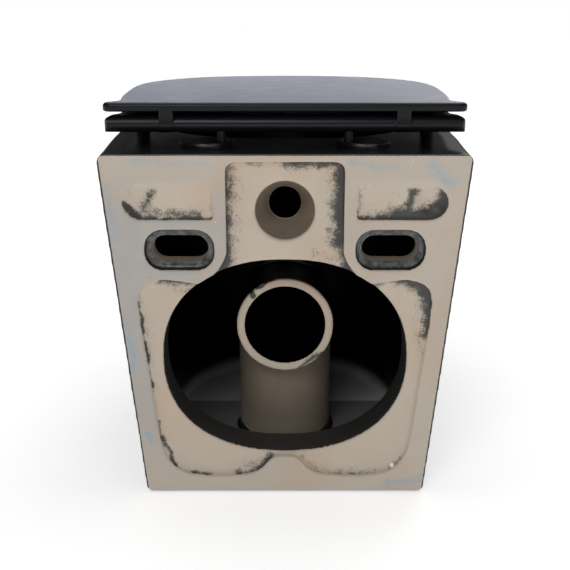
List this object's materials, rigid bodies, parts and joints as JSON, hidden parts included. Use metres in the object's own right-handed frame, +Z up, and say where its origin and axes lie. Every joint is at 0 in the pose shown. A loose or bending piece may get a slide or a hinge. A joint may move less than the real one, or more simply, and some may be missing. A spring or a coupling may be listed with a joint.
{
  "type": "wall-hung toilet pan",
  "caption": "Wall-hung ceramic toilet pan, seen bare from the wall side, with a slim soft-close seat and lid on a lift-off hinge bar.",
  "frame": {"origin": "midpoint between the two wall-fixing slots, on the wall plane", "axes": "+X right as seen from the wall side, +Y away from the wall, +Z up"},
  "size_m": [0.3808, 0.4758, 0.393],
  "materials": {
    "pan": "satin black glaze, bare beige bisque on the wall side",
    "seat_plastic": "satin black duroplast",
    "hinge_plastic": "satin black moulded nylon",
    "cover_gloss": "glossy black",
    "steel": "stainless, turned",
    "black_steel": "black passivated steel",
    "zinc": "dark passivated die-cast",
    "damper_plastic": "natural acetal",
    "rubber": "matt black",
    "bumper_rubber": "soft dark grey"
  },
  "bodies": {
    "pan": {"pan": "pan", "hinge_cover_left": "cover_gloss", "hinge_cover_right": "cover_gloss", "hinge_base_left": "zinc", "hinge_base_right": "zinc", "hinge_pin_left": "black_steel", "hinge_pin_right": "black_steel", "base_gaskets": "rubber", "base_bolts": "steel", "expanding_sleeves": "rubber", "clamp_nuts": "steel"},
    "hinge_bar": {"hinge_bar": "hinge_plastic", "pin_clips": "steel", "lid_damper_body": "damper_plastic", "lid_damper_cap": "damper_plastic", "seat_damper_body": "damper_plastic", "seat_damper_cap": "damper_plastic", "damper_seals": "rubber"},
    "release_button_left": {"release_button_left": "hinge_plastic"},
    "release_button_right": {"release_button_right": "hinge_plastic"},
    "seat": {"seat_ring": "seat_plastic", "seat_damper_shaft": "damper_plastic", "seat_bush": "damper_plastic", "seat_bumpers": "bumper_rubber"},
    "lid": {"lid": "seat_plastic", "lid_damper_shaft": "damper_plastic", "lid_bush": "damper_plastic", "lid_bumpers": "bumper_rubber"}
  },
  "joints": [
    {"name": "seat_lift_off", "type": "slide", "parent": "pan", "child": "hinge_bar", "axis": [0, 0, 1], "range_m": [0, 0.04], "deforming": ["pin_clips"]},
    {"name": "release_left", "type": "slide", "parent": "hinge_bar", "child": "release_button_left", "axis": [0, -1, 0], "range_m": [0, 0.0018], "stiffness_N_per_m": 250, "springref_m": -0.001},
    {"name": "release_right", "type": "slide", "parent": "hinge_bar", "child": "release_button_right", "axis": [0, -1, 0], "range_m": [0, 0.0018], "stiffness_N_per_m": 250, "springref_m": -0.001},
    {"name": "seat_hinge", "type": "hinge", "parent": "hinge_bar", "child": "seat", "pos_m": [0, 0.042, 0.1155], "axis": [-1, 0, 0], "range_deg": [-92, 0]},
    {"name": "lid_hinge", "type": "hinge", "parent": "seat", "child": "lid", "pos_m": [0, 0.042, 0.1155], "axis": [1, 0, 0], "range_deg": [0, 92]}
  ]
}
